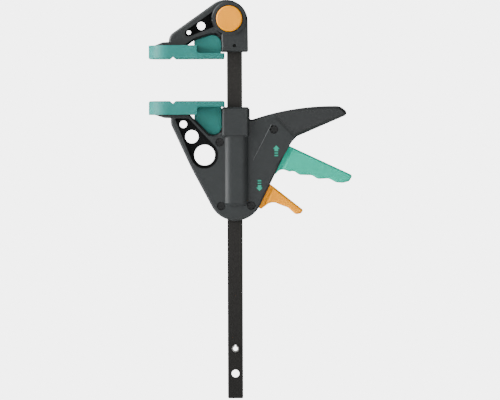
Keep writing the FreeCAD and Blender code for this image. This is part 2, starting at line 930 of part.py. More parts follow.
def nose_lift():
    """Height of the nose's centre over the pivot at rest, so that its path is even."""
    return nose_reach * math.tan(math.radians(trigger_pull / 2)) + nose_radius


def release_nose_lift():
    return release_nose_reach * math.tan(math.radians(release_pull / 2))


def brake_plate_depth():
    """Depth of the top of the squared brake plate, which meets the lever's nose when it is tilted."""
    contact = brake_plate_left + release_x - release_nose_reach
    nose_foot = release_depth - release_nose_lift() + release_nose_radius
    return nose_foot + brake_gap + contact * math.tan(math.radians(brake_tilt))


def brake_bay_top():
    return release_depth - release_boss - brake_room


def brake_bay_foot():
    return brake_plate_depth() + brake_plate_thickness + brake_drop_room


def brake_floor():
    return brake_bay_foot() + brake_spring_room


def bay_top():
    return trigger_depth - nose_lift() - nose_radius - nose_room


def bay_seat():
    return brake_bay_top() - bay_wall


def screw_holes():
    """Counterbores and shank holes of the four housing screws."""
    cuts = []
    for x, depth in screw_places():
        z = low(depth)
        head_back = -shell_half_width + screw_head_sink + screw_head_height
        head_radius_clear = screw_head_radius + screw_head_play
        cuts.append(rod(x, z, head_radius_clear, -block_half_width, head_back))
        cuts.append(rod(x, z, screw_radius, head_back - overrun, screw_reach))
    return cuts[0].fuse(cuts[1:])


def pin_holes():
    """Blind seats of both hinge pins in the shells."""
    trigger = rod(trigger_x, low(trigger_depth), hinge_pin_radius,
                  -bay_half_width - hinge_pin_seat, bay_half_width + hinge_pin_seat)
    release = rod(release_x, low(release_depth), release_pin_radius,
                  -bay_half_width - hinge_pin_seat, bay_half_width + hinge_pin_seat)
    return trigger.fuse(release)


def make_shells():
    housing = make_housing().cut(screw_holes()).cut(pin_holes())
    far = grip_reach + pad_reach
    front = housing.common(brick(-far, far, -far, 0, low(far), far))
    back = housing.common(brick(-far, far, 0, far, low(far), far))
    return front, back


def make_screws():
    screws = []
    for x, depth in screw_places():
        z = low(depth)
        front = -shell_half_width + screw_head_sink
        head = rod(x, z, screw_head_radius, front, front + screw_head_height)
        shank = rod(x, z, screw_radius, front, screw_reach)
        screw = head.fuse(shank)
        screws.append(screw.cut(hexagon(x, z, screw_socket, front - overrun, front + screw_socket_depth)))
    return Part.makeCompound(screws)


def make_grip():
    """Soft sleeve of the grip, round in section, hollow for the shells' core."""
    outline = rounded_face(housing_corners())
    sleeve = thick(outline, grip_half_width).common(grip_side(pin_fit))
    tip_radius = housing_right_shares[2][2] * grip_reach
    edge = min(grip_edge, tip_radius - part_gap)
    sleeve = ease_rims(sleeve, edge, [-grip_half_width, grip_half_width], near_seam)
    core = thick(outline.makeOffset2D(-grip_core_inset), grip_core_half_width)
    return sleeve.cut(core)


def near_seam(point):
    top, foot = seam_points()
    along = (foot - top).normalize()
    offset = (point - Vector(top.x, point.y, top.z)).cross(along)
    return abs(offset.y) < part_gap


def shares_to_corners(shares, x, depth, size):
    """Outline given as shares of one length, measured from a pivot, down being positive."""
    return [(x + a * size, low(depth + b * size), r * size) for a, b, r in shares]


def trigger_corners():
    corners = shares_to_corners(trigger_blade_shares, trigger_x, trigger_depth, trigger_length)
    pivots_apart = release_depth - trigger_depth
    for a, b, r in trigger_root_shares:
        corners.append((trigger_x + a * trigger_length, low(trigger_depth + b * pivots_apart), r * trigger_length))
    return corners


def beyond_edge(gap, shoulder, root_half_width, half_width):
    """Room outside the housing's right edge, off it by a gap, that widens over sloping shoulders."""
    top_x, top_depth, _ = housing_right_shares[4]
    end_x, end_depth, _ = housing_right_shares[5]
    top = Vector(top_x * grip_reach, 0, low(top_depth * carriage_height))
    end = Vector(end_x * grip_reach, 0, low(end_depth * carriage_height))
    along = (end - top).normalize()
    out = Vector(-along.z, 0, along.x)
    start = top - along * grip_reach
    points = []
    for reach, side in (
        (gap, -root_half_width),
        (gap + shoulder, -half_width),
        (grip_reach, -half_width),
        (grip_reach, half_width),
        (gap + shoulder, half_width),
        (gap, root_half_width),
    ):
        points.append(start + out * reach + Vector(0, side, 0))
    points.append(points[0])
    face = Part.Face(Part.makePolygon(points))
    return face.extrude(end - start + along * grip_reach)


def lever(corners, half_width, root_half_width, gap, shoulder):
    """Lever blade: wide outside the housing, narrower where it enters between the shells.

    The chamfer of its rims ends level with the narrow part's sides.
    """
    face = rounded_face(corners)
    blade = ease_rims(thick(face, half_width), half_width - root_half_width, [-half_width, half_width])
    room = beyond_edge(gap, shoulder, root_half_width, half_width)
    return blade.common(room).fuse(thick(face, root_half_width))


def make_trigger():
    """Finger trigger with its pivot boss and the nose that pushes the drive plates."""
    blade = lever(trigger_corners(), trigger_half_width, trigger_root_half_width,
                  trigger_root_gap, trigger_shoulder)
    z = low(trigger_depth)
    boss = rod(trigger_x, z, trigger_boss, -trigger_root_half_width, trigger_root_half_width)
    tip_x = trigger_x - nose_reach
    tip_z = z + nose_lift()
    root = trigger_boss * nose_root_share
    nose = slab([
        (trigger_x, z + root, 0),
        (tip_x, tip_z + nose_radius, nose_radius * nose_root_share),
        (tip_x - nose_radius, tip_z - nose_radius, nose_radius * nose_root_share),
        (tip_x + nose_radius, tip_z - nose_radius, 0),
        (trigger_x, z - root, 0),
    ], -nose_half_width, nose_half_width)
    trigger = blade.fuse([boss, nose])
    bore = hinge_pin_radius + pin_fit
    return trigger.cut(rod(trigger_x, z, bore, -pad_reach, pad_reach))


def hinge_pin(x, depth, radius):
    half = bay_half_width + hinge_pin_seat
    return rod(x, low(depth), radius, -half, half)


def nose_bottom():
    """Depth of the underside of the trigger's nose at rest."""
    return trigger_depth - nose_lift() + nose_radius


def make_drive_plate(index):
    """Steel plate with a slot for the bar; the trigger pushes two of them down it."""
    top = low(nose_bottom() + nose_gap + index * plate_thickness)
    plate = brick(-plate_left, plate_right, -plate_half_width, plate_half_width, top - plate_thickness, top)
    corners = [e for e in plate.Edges if along_z(e, plate_thickness / 2)]
    plate = plate.makeChamfer(nose_radius, corners)
    return plate.cut(bar_space(plate_slot_play, top - plate_thickness - overrun, top + overrun))


def drive_stack_foot():
    return nose_bottom() + nose_gap + plate_thickness * 2


def make_drive_spring():
    lead = drive_wire / 2
    bottom = low(bay_seat() - seat_thickness) + lead
    height = low(drive_stack_foot()) - lead - bottom - pin_fit
    return coil(Vector(0, 0, bottom), Vector(0, 0, 1), drive_coil_radius, drive_wire, height, drive_turns)


def make_spring_seat():
    """Flat plate with a slot for the bar, on the floor of the drive plates' room."""
    top = low(bay_seat() - seat_thickness)
    seat = brick(-plate_left, plate_right, -plate_half_width, plate_half_width, top - seat_thickness, top)
    return seat.cut(bar_space(plate_slot_play, top - seat_thickness - overrun, top + overrun))


def make_release_lever():
    """Release lever with its boss and the nose that squares the brake plate."""
    corners = shares_to_corners(release_outline_shares, release_x, release_depth, release_length)
    blade = lever(corners, release_half_width, release_root_half_width,
                  release_root_gap, release_shoulder)
    z = low(release_depth)
    boss = rod(release_x, z, release_boss, -release_root_half_width, release_root_half_width)
    tip_x = release_x - release_nose_reach
    tip_z = z + release_nose_lift()
    nose = slab([
        (release_x, z + release_boss * nose_root_share, 0),
        (tip_x - release_nose_radius, tip_z + release_nose_radius, release_nose_radius * nose_root_share),
        (tip_x - release_nose_radius, tip_z - release_nose_radius, release_nose_radius * nose_root_share),
        (tip_x + release_nose_radius, tip_z - release_nose_radius, 0),
        (release_x, z - release_boss * nose_root_share, 0),
    ], -release_nose_half_width, release_nose_half_width)
    bore = release_pin_radius + pin_fit
    return blade.fuse([boss, nose]).cut(rod(release_x, z, bore, -pad_reach, pad_reach))


def make_brake_plate():
    """Steel plate that jams on the bar while it is tilted."""
    top = low(brake_plate_depth())
    plate = brick(-brake_plate_left, brake_plate_right, -brake_plate_half_width, brake_plate_half_width,
                  top - brake_plate_thickness, top)
    corners = [e for e in plate.Edges if along_z(e, brake_plate_thickness / 2)]
    plate = plate.makeChamfer(release_nose_radius, corners)
    wide = half_bar + brake_slot_play
    deep = half_thick + plate_slot_play
    foot = top - brake_plate_thickness - overrun
    plate = plate.cut(brick(-wide, wide, -deep, deep, foot, top + overrun))
    pivot = Vector(-brake_plate_left, 0, top - brake_plate_thickness / 2)
    plate.rotate(pivot, Vector(0, -1, 0), brake_tilt)
    return plate


def make_brake_spring():
    lead = brake_wire / 2
    bottom = low(brake_floor()) + lead + pin_fit
    rise = (brake_plate_left - drive_coil_radius - lead) * math.tan(math.radians(brake_tilt)) - pin_fit
    top = low(brake_plate_depth() + brake_plate_thickness) + rise - lead
    return coil(Vector(0, 0, bottom), Vector(0, 0, 1), drive_coil_radius, brake_wire, top - bottom, brake_turns)


def build():
    os.makedirs("parts", exist_ok=True)
    save("bar", make_bar())
    save("stop_pin", make_stop_pin())
    save("fixed_jaw", make_fixed_jaw())
    save("fixed_pad", make_pad(jaw_notch()))
    save("release_button", make_button())
    save("lock_plunger", make_plunger())
    save("button_spring", make_button_spring())
    save("jaw_set_screw", make_grub_screw())
    front, back = make_shells()
    save("housing_front", front)
    save("housing_rear", back)
    save("housing_screws", make_screws())
    save("grip_sleeve", make_grip())
    moving_pad = make_pad(carriage_notch()).mirror(Vector(0, 0, 0), Vector(0, 0, 1))
    moving_pad.translate(Vector(0, 0, -jaw_gap))
    save("moving_pad", moving_pad)
    save("trigger", make_trigger())
    save("trigger_pin", hinge_pin(trigger_x, trigger_depth, hinge_pin_radius))
    save("drive_plate_upper", make_drive_plate(0))
    save("drive_plate_lower", make_drive_plate(1))
    save("drive_spring", make_drive_spring())
    save("spring_seat", make_spring_seat())
    save("release_lever", make_release_lever())
    save("release_pin", hinge_pin(release_x, release_depth, release_pin_radius))
    save("brake_plate", make_brake_plate())
    save("brake_spring", make_brake_spring())


build()
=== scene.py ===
"""Looks of a one-handed bar clamp: finishes, small added forms and a studio stage, over its built solids."""

import math

import bmesh
import bpy
from bpy.props import FloatProperty, FloatVectorProperty
from mathutils import Matrix, Vector
from mathutils.bvhtree import BVHTree


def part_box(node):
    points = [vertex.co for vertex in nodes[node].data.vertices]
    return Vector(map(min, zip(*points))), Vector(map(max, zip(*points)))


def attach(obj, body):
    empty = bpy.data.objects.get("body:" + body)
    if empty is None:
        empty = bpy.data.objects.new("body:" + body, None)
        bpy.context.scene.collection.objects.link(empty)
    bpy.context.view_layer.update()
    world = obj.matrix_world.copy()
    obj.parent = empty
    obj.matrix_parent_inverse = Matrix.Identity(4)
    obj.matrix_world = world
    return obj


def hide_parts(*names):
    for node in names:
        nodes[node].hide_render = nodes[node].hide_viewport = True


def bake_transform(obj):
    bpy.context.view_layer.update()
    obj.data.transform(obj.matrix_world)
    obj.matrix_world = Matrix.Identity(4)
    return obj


bl_info = {
    "name": "Bar Clamp Looks",
    "version": (1, 0, 0),
    "blender": (4, 5, 0),
    "location": "3D View > Sidebar > Clamp",
    "description": "Finishes, prints and stage for a one-handed bar clamp",
    "category": "Object",
}

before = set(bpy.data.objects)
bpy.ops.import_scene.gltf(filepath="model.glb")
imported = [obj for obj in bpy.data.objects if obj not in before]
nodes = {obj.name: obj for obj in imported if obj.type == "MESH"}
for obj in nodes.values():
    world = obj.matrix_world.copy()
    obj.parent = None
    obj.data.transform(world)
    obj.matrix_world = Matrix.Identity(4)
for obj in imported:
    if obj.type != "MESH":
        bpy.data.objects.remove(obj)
MM = 0.001

# Edges of the built pieces
WELD_REACH = 0.000002
EDGE_SEGMENTS = 2
SMOOTH_ANGLE = math.radians(35.0)

# Painted shade inside pockets and holes: how rays from a flat find the walls round it
CAVITY_RAYS = 8
CAVITY_WALLS = 4
CAVITY_SHARE = 0.4
CAVITY_TILT = math.radians(75.0)
CAVITY_LIFT = 0.02 * MM
CAVITY_REACH = 18.0 * MM

# Sides of the pads' rear strips
CHEEK_INNER = 9.0 * MM
CHEEK_LAP = 0.4 * MM
CHEEK_STEPS = 6

# Prints on the front shell: places are x and z, shares are of the arrow's width
ARROW_UP = (35.2 * MM, -73.6 * MM)
ARROW_DOWN = (20.9 * MM, -112.2 * MM)
ARROW_HEAD_SHARE = 0.52
ARROW_SHAFT_SHARE = 0.56
ARROW_LENGTH_SHARE = 0.37
ARROW_BAR_SHARES = ((1.09, 1.26), (1.47, 1.67))
# Painted highlight along the fold line: its top and low ends as x and z, and its width at the low end as a
# share of its top width
CREASE_TOP = (31.1 * MM, -55.8 * MM)
CREASE_LOW = (15.7 * MM, -85.7 * MM)
CREASE_END_SHARE = 0.3
PRINT_CUTS = 3
PRINT_REACH = 50 * MM

# Tone of the bar at its lower end, as a share of the tone at its top
BAR_END_TONE = 0.3

# Ranges that a noise mostly stays in, and the tones that they are spread to
WIDE_SWING = (0.3, 0.7)
NARROW_SWING = (0.35, 0.65)
SPECK_TONES = (0.965, 1.035)
LINE_TONES = (0.86, 1.14)
CLOUD_TONES = (0.9, 1.1)

# Stage: the point that all lamps face, and the camera's place as x and z with its roll in radians
LAMP_TARGET = Vector((0.0, 0.0, -0.12))
WHITE = (1.0, 1.0, 1.0, 1.0)
FLOOR_SEGMENTS = 96
CAMERA_PLACE = (12.77 * MM, -119.87 * MM)
CAMERA_ROLL = -0.0033
CAMERA_SENSOR = 36.0
CAMERA_RANGE = 50.0


def colour_property(name, description, default):
    """A colour picker for one finish."""
    return FloatVectorProperty(
        name=name, description=description, subtype="COLOR", size=4, min=0.0, max=1.0,
        default=default + (1.0,),
    )


class ClampFinishes(bpy.types.PropertyGroup):
    """Colours of the clamp's finishes, with the painted shade of the cavities and the painted highlight of
    the fold line.
    """

    shell: colour_property("Moulding", "Grey of the carriage and the fixed jaw", (0.0110, 0.0128, 0.0132))
    grip: colour_property("Grip", "Near black of the handle's soft sleeve", (0.0078, 0.0091, 0.0094))
    pad: colour_property("Pads", "Light teal of the soft pads", (0.0130, 0.1180, 0.1040))
    trigger: colour_property("Trigger", "Teal of the trigger", (0.0080, 0.2800, 0.1900))
    amber: colour_property("Amber", "Amber of the button and the release lever", (0.5900, 0.2150, 0.0010))
    bar: colour_property("Bar", "Blackened steel of the bar", (0.0140, 0.0130, 0.0116))
    plate: colour_property("Plates", "Grey steel of the plates inside", (0.1878, 0.1878, 0.1812))
    bright: colour_property("Pins", "Ground steel of pins and plunger", (0.4020, 0.4020, 0.3916))
    spring: colour_property("Springs", "Dark drawn wire", (0.0931, 0.0931, 0.0887))
    screw: colour_property("Screws", "Blackened screws", (0.0070, 0.0074, 0.0074))
    # Painted shade: near-black colour laid on flats inside pockets, holes and slots, where shade falls
    cavity_shade: colour_property(
        "Cavities", "Shaded, rougher faces inside pockets, holes and slots", (0.0025, 0.0028, 0.0029)
    )
    # Painted highlight: a lighter colour laid along the edge of the moulding's fold line, where light
    # catches it
    crease_highlight: colour_property("Crease", "Rubbed edge of the moulding's fold line", (0.0600, 0.0640, 0.0660))
    arrow: colour_property("Arrows", "Teal print of the direction arrows", (0.0080, 0.2000, 0.1350))


class ClampSizes(bpy.types.PropertyGroup):
    """Sizes of the small details."""

    edge_softening: FloatProperty(
        name="Edge softening", description="Rounding of the mouldings' sharp edges",
        default=0.00025, unit="LENGTH",
    )
    metal_softening: FloatProperty(
        name="Metal softening", description="Rounding of the steel pieces' sharp edges",
        default=0.00012, unit="LENGTH",
    )
    strip_step_share: FloatProperty(
        name="Strip step", description="Place of the pad's step, as a share of the pad's reach",
        default=0.4384, subtype="FACTOR",
    )
    strip_height: FloatProperty(
        name="Strip height", description="Height of the pad's rear strip", default=0.0049, unit="LENGTH",
    )
    strip_rear_width: FloatProperty(
        name="Strip rear width", description="Half width of the pad's rear strip at its end",
        default=0.0155, unit="LENGTH",
    )
    strip_corner: FloatProperty(
        name="Strip corner", description="Radius of the rear strip's corners",
        default=0.0016, unit="LENGTH",
    )
    strip_inner_corner: FloatProperty(
        name="Strip inner corner", description="Radius between the rear strip and the pad's step",
        default=0.0029, unit="LENGTH",
    )
    pad_edge: FloatProperty(
        name="Pad edge", description="Slope round the pad's clamping face", default=0.0009, unit="LENGTH",
    )
    print_thickness: FloatProperty(
        name="Print thickness", description="Thickness of the printed arrows",
        default=0.00008, unit="LENGTH",
    )
    # Width of the painted highlight along the fold line
    crease_width: FloatProperty(
        name="Crease width", description="Width of the rubbed fold line at its top",
        default=0.0004, unit="LENGTH",
    )
    arrow_width: FloatProperty(
        name="Arrow width", description="Width of an arrow's head", default=0.0055, unit="LENGTH",
    )


class ClampStage(bpy.types.PropertyGroup):
    """Camera, light and floor."""

    camera_distance: FloatProperty(
        name="Camera distance", description="Distance of the camera from the bar's plane",
        default=6.0, unit="LENGTH",
    )
    picture_width: FloatProperty(
        name="Picture width", description="Width that the picture covers at the bar's plane",
        default=0.425, unit="LENGTH",
    )
    floor_drop: FloatProperty(
        name="Floor drop", description="Distance from the bar's lower end down to the floor",
        default=0.06, unit="LENGTH",
    )
    floor_tone: FloatProperty(
        name="Floor tone", description="Grey value of the floor", default=0.9, subtype="FACTOR",
    )
    key_power: FloatProperty(
        name="Key power", description="Power of the light at the left in watts", default=100.0,
    )
    top_power: FloatProperty(
        name="Top power", description="Power of the light from above in watts", default=45.0,
    )
    fill_power: FloatProperty(
        name="Fill power", description="Power of the wide light in front in watts", default=48.0,
    )
    back_power: FloatProperty(
        name="Back power", description="Power of the wide light behind in watts", default=40.0,
    )
    floor_radius: FloatProperty(
        name="Floor radius", description="Radius of the round floor", default=1.9, unit="LENGTH",
    )
    surround_strength: FloatProperty(
        name="Surround strength",
        description="Brightness of the white that the camera sees round the floor", default=5.2,
    )
    sky_strength: FloatProperty(
        name="Sky strength", description="Strength of the even white light", default=0.3,
    )


# Shader node groups


def new_group(name, inputs, outputs):
    """Shader node group with named float or colour sockets, and its input and output nodes."""
    group = bpy.data.node_groups.new(name, "ShaderNodeTree")
    for label, kind, default in inputs:
        socket = group.interface.new_socket(name=label, in_out="INPUT", socket_type=kind)
        socket.default_value = default
    for label, kind in outputs:
        group.interface.new_socket(name=label, in_out="OUTPUT", socket_type=kind)
    entry = group.nodes.new("NodeGroupInput")
    leave = group.nodes.new("NodeGroupOutput")
    return group, entry, leave


def feed(tree, value, socket):
    """Sets a socket to a plain number, or links another socket to it."""
    if isinstance(value, (int, float)):
        socket.default_value = value
    else:
        tree.links.new(value, socket)


def noise(tree, vector, scale, detail, roughness=0.5):
    """Value of a noise texture fed by a vector."""
    node = tree.nodes.new("ShaderNodeTexNoise")
    node.inputs["Detail"].default_value = detail
    node.inputs["Roughness"].default_value = roughness
    tree.links.new(vector, node.inputs["Vector"])
    feed(tree, scale, node.inputs["Scale"])
    return node.outputs["Fac"]


def combine(tree, operation, first, second):
    """Result of a math node whose inputs are sockets or plain numbers."""
    node = tree.nodes.new("ShaderNodeMath")
    node.operation = operation
    feed(tree, first, node.inputs[0])
    feed(tree, second, node.inputs[1])
    return node.outputs["Value"]


def spread(tree, value, source, result):
    """Value remapped from one range to another and kept inside it."""
    node = tree.nodes.new("ShaderNodeMapRange")
    node.clamp = True
    tree.links.new(value, node.inputs["Value"])
    for label, number in zip(("From Min", "From Max", "To Min", "To Max"), source + result):
        feed(tree, number, node.inputs[label])
    return node.outputs["Result"]


def shade_colour(tree, colour, factor):
    """Colour multiplied by a factor that changes over the surface."""
    node = tree.nodes.new("ShaderNodeVectorMath")
    node.operation = "SCALE"
    tree.links.new(colour, node.inputs[0])
    tree.links.new(factor, node.inputs["Scale"])
    return node.outputs["Vector"]


SURFACE_OUTPUTS = (
    ("Colour", "NodeSocketColor"), ("Roughness", "NodeSocketFloat"), ("Height", "NodeSocketFloat"),
)


def make_moulded_surface():
    """Spark-eroded grain of a moulding: colour drift, uneven gloss and a fine height."""
    group, entry, leave = new_group(
        "moulded_surface",
        [
            ("Colour", "NodeSocketColor", (0.5, 0.5, 0.5, 1.0)),
            ("Grain scale", "NodeSocketFloat", 2200.0),
            ("Drift", "NodeSocketFloat", 0.06),
            ("Gloss low", "NodeSocketFloat", 0.4),
            ("Gloss high", "NodeSocketFloat", 0.6),
        ],
        SURFACE_OUTPUTS,
    )
    place = group.nodes.new("ShaderNodeTexCoord").outputs["Object"]
    grain = noise(group, place, scale=entry.outputs["Grain scale"], detail=2.0)
    cloud = noise(group, place, scale=55.0, detail=3.0)
    handling = noise(group, place, scale=23.0, detail=4.0, roughness=0.6)
    down = combine(group, "SUBTRACT", 1.0, entry.outputs["Drift"])
    up = combine(group, "ADD", 1.0, entry.outputs["Drift"])
    drift = spread(group, cloud, WIDE_SWING, (down, up))
    speck = spread(group, grain, NARROW_SWING, SPECK_TONES)
    tone = combine(group, "MULTIPLY", drift, speck)
    group.links.new(shade_colour(group, entry.outputs["Colour"], tone), leave.inputs["Colour"])
    gloss = spread(group, handling, WIDE_SWING, (entry.outputs["Gloss low"], entry.outputs["Gloss high"]))
    group.links.new(gloss, leave.inputs["Roughness"])
    group.links.new(grain, leave.inputs["Height"])
    return group


def make_drawn_steel():
    """Fine lines drawn along one axis, with cloudy tone and gloss."""
    group, entry, leave = new_group(
        "drawn_steel",
        [
            ("Colour", "NodeSocketColor", (0.5, 0.5, 0.5, 1.0)),
            ("Stretch", "NodeSocketVector", (1.0, 1.0, 0.02)),
            ("Line scale", "NodeSocketFloat", 2600.0),
            ("Gloss low", "NodeSocketFloat", 0.3),
            ("Gloss high", "NodeSocketFloat", 0.5),
        ],
        SURFACE_OUTPUTS,
    )
    place = group.nodes.new("ShaderNodeTexCoord").outputs["Object"]
    stretched = group.nodes.new("ShaderNodeVectorMath")
    stretched.operation = "MULTIPLY"
    group.links.new(place, stretched.inputs[0])
    group.links.new(entry.outputs["Stretch"], stretched.inputs[1])
    lines = noise(
        group, stretched.outputs["Vector"], scale=entry.outputs["Line scale"], detail=3.0, roughness=0.6
    )
    cloud = noise(group, place, scale=70.0, detail=4.0, roughness=0.6)
    line_tone = spread(group, lines, WIDE_SWING, LINE_TONES)
    cloud_tone = spread(group, cloud, WIDE_SWING, CLOUD_TONES)
    tone = combine(group, "MULTIPLY", line_tone, cloud_tone)
    group.links.new(shade_colour(group, entry.outputs["Colour"], tone), leave.inputs["Colour"])
    half_lines = combine(group, "MULTIPLY", lines, 0.5)
    half_cloud = combine(group, "MULTIPLY", cloud, 0.5)
    mixed = combine(group, "ADD", half_lines, half_cloud)
    gloss = spread(group, mixed, NARROW_SWING, (entry.outputs["Gloss low"], entry.outputs["Gloss high"]))
    group.links.new(gloss, leave.inputs["Roughness"])
    group.links.new(lines, leave.inputs["Height"])
    return group


def group_named(name, maker):
    """The node group of that name, built once."""
    return bpy.data.node_groups.get(name) or maker()


def surface_material(name, group, inputs, depth, numbers):
    """Principled material with colour, roughness and bump from a node group, and numbers of its own."""
    material = bpy.data.materials.new(name)
    material.use_nodes = True
    tree = material.node_tree
    tree.nodes.clear()
    out = tree.nodes.new("ShaderNodeOutputMaterial")
    shader = tree.nodes.new("ShaderNodeBsdfPrincipled")
    tree.links.new(shader.outputs["BSDF"], out.inputs["Surface"])
    surface = tree.nodes.new("ShaderNodeGroup")
    surface.node_tree = group
    for label, value in inputs.items():
        surface.inputs[label].default_value = value
    tree.links.new(surface.outputs["Colour"], shader.inputs["Base Color"])
    tree.links.new(surface.outputs["Roughness"], shader.inputs["Roughness"])
    bump = tree.nodes.new("ShaderNodeBump")
    bump.inputs["Strength"].default_value = 1.0
    bump.inputs["Distance"].default_value = depth
    tree.links.new(surface.outputs["Height"], bump.inputs["Height"])
    tree.links.new(bump.outputs["Normal"], shader.inputs["Normal"])
    for label, value in numbers.items():
        shader.inputs[label.replace("_", " ")].default_value = value
    return material


def moulded_material(name, colour, gloss, grain, depth, drift=0.05, **numbers):
    """Moulded plastic or rubber with its grain; numbers go to the shader's own sockets."""
    group = group_named("moulded_surface", make_moulded_surface)
    inputs = {
        "Colour": colour, "Grain scale": grain, "Drift": drift,
        "Gloss low": gloss[0], "Gloss high": gloss[1],
    }
    return surface_material(name, group, inputs, depth, numbers)


def steel_material(name, colour, gloss, stretch, lines, depth, **numbers):
    """Drawn, ground or blackened steel; numbers go to the shader's own sockets."""
    group = group_named("drawn_steel", make_drawn_steel)
    inputs = {
        "Colour": colour, "Stretch": stretch, "Line scale": lines,
        "Gloss low": gloss[0], "Gloss high": gloss[1],
    }
    return surface_material(name, group, inputs, depth, numbers)


def fade_down(material, top, bottom, bottom_tone):
    """Darkens a material's colour towards its lower end."""
    tree = material.node_tree
    shader = next(node for node in tree.nodes if node.type == "BSDF_PRINCIPLED")
    colour = shader.inputs["Base Color"].links[0].from_socket
    place = tree.nodes.new("ShaderNodeSeparateXYZ")
    tree.links.new(tree.nodes.new("ShaderNodeTexCoord").outputs["Object"], place.inputs["Vector"])
    tone = spread(tree, place.outputs["Z"], (bottom, top), (bottom_tone, 1.0))
    tree.links.new(shade_colour(tree, colour, tone), shader.inputs["Base Color"])


# Finishing of the built pieces


def finish_node(name, material, softening=0.0):
    """Gives a built piece its material, welded smooth faces and slightly rounded edges."""
    piece = nodes[name]
    piece.data.materials.clear()
    piece.data.materials.append(material)
    for face in piece.data.polygons:
        face.use_smooth = True
    weld = piece.modifiers.new("weld", "WELD")
    weld.merge_threshold = WELD_REACH
    soften(piece, softening)
    return piece


def surface_tree(mesh):
    """Search tree over a mesh's faces."""
    return BVHTree.FromPolygons(
        [point.co for point in mesh.vertices], [face.vertices[:] for face in mesh.polygons]
    )


def walls_round(tree, face):
    """Number of directions, low over a face, in which the same piece rises before it."""
    normal = Vector(face.normal)
    across = normal.orthogonal().normalized()
    start = Vector(face.center) + normal * CAVITY_LIFT
    walls = 0
    for i in range(CAVITY_RAYS):
        around = Matrix.Rotation(2 * math.pi * i / CAVITY_RAYS, 3, normal)
        toward = normal * math.cos(CAVITY_TILT) + (around @ across) * math.sin(CAVITY_TILT)
        if tree.ray_cast(start, toward, CAVITY_REACH)[0] is not None:
            walls += 1
    return walls


def shade_cavities(piece, material):
    """Paints the flats inside pockets, holes and slots with a second, darker material as painted shade.

    A flat is all faces with the same normal and height. It counts as inside where walls of the same
    piece stand round enough of its area.
    """
    mesh = piece.data
    tree = surface_tree(mesh)
    mesh.materials.append(material)
    place = len(mesh.materials) - 1
    flats = {}
    for face in mesh.polygons:
        height = Vector(face.normal).dot(Vector(face.center))
        key = tuple(round(value, 2) for value in face.normal) + (round(height / MM, 1),)
        flats.setdefault(key, []).append(face)
    for faces in flats.values():
        whole = sum(face.area for face in faces)
        walled = sum(face.area for face in faces if walls_round(tree, face) >= CAVITY_WALLS)
        if walled > whole * CAVITY_SHARE:
            for face in faces:
                face.material_index = place


def soften(piece, softening):
    """Slightly rounded edges and even shading, as modifiers."""
    if softening > 0.0:
        bevel = piece.modifiers.new("soft_edges", "BEVEL")
        bevel.width = softening
        bevel.segments = EDGE_SEGMENTS
        bevel.limit_method = "ANGLE"
        bevel.angle_limit = SMOOTH_ANGLE
        bevel.use_clamp_overlap = True
        bevel.harden_normals = True
    weighted = piece.modifiers.new("even_shading", "WEIGHTED_NORMAL")
    weighted.keep_sharp = False


def as_mesh(name, form):
    """Mesh made from a finished form, which is then freed."""
    mesh = bpy.data.meshes.new(name)
    form.to_mesh(mesh)
    form.free()
    return mesh


def mesh_object(name, mesh, material, body):
    """New piece that rides on a body and takes its finish from a slot."""
    piece = bpy.data.objects.new(name, mesh)
    bpy.context.scene.collection.objects.link(piece)
    mesh.materials.append(material)
    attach(piece, body)
    return piece


class CLAMP_OT_bar(bpy.types.Operator):
    """Blackened steel bar and its stop pin"""

    bl_idname = "clamp.bar"
    bl_label = "Finish the bar"

    def execute(self, context):
        finishes = context.scene.clamp_finishes
        sizes = context.scene.clamp_sizes
        bar = steel_material(
            "blackened_bar", finishes.bar, gloss=(0.42, 0.58), stretch=(1.0, 1.0, 0.012), lines=2400.0,
            depth=0.000012, Metallic=0.55, Specular_IOR_Level=0.25,
        )
        low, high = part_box("bar")
        fade_down(bar, high.z, low.z, BAR_END_TONE)
        finish_node("bar", bar, sizes.metal_softening)
        pin = steel_material(
            "spring_pin", finishes.spring, gloss=(0.35, 0.5), stretch=(1.0, 0.05, 1.0), lines=2600.0,
            depth=0.00001, Metallic=0.8,
        )
        finish_node("stop_pin", pin, sizes.metal_softening)
        return {"FINISHED"}


class CLAMP_OT_mouldings(bpy.types.Operator):
    """Grey mouldings of the fixed jaw and the carriage, with their screws"""

    bl_idname = "clamp.mouldings"
    bl_label = "Finish the mouldings"

    def execute(self, context):
        finishes = context.scene.clamp_finishes
        sizes = context.scene.clamp_sizes
        grey = moulded_material(
            "grey_moulding", finishes.shell, gloss=(0.5, 0.62), grain=2300.0, depth=0.00003,
            Specular_IOR_Level=0.2,
        )
        # Painted shade: a near-black, rougher second material for the flats that shade_cavities finds inside
        # pockets, holes and slots
        painted_shade = moulded_material(
            "painted_shade_moulding", finishes.cavity_shade, gloss=(0.75, 0.85), grain=2300.0, depth=0.00003,
            Specular_IOR_Level=0.1,
        )
        for name in ("fixed_jaw", "housing_front", "housing_rear"):
            piece = finish_node(name, grey, sizes.edge_softening)
            shade_cavities(piece, painted_shade)
        black = steel_material(
            "black_screw", finishes.screw, gloss=(0.22, 0.34), stretch=(1.0, 1.0, 1.0), lines=1800.0,
            depth=0.000008, Metallic=0.85,
        )
        for name in ("housing_screws", "jaw_set_screw"):
            finish_node(name, black, sizes.metal_softening)
        return {"FINISHED"}


class CLAMP_OT_grip(bpy.types.Operator):
    """Soft sleeve of the handle"""

    bl_idname = "clamp.grip"
    bl_label = "Finish the grip"

    def execute(self, context):
        finishes = context.scene.clamp_finishes
        sizes = context.scene.clamp_sizes
        grip = moulded_material(
            "grip_rubber", finishes.grip, gloss=(0.54, 0.66), grain=1700.0, depth=0.00003, drift=0.04,
            Specular_IOR_Level=0.25,
        )
        finish_node("grip_sleeve", grip, sizes.edge_softening)
        return {"FINISHED"}


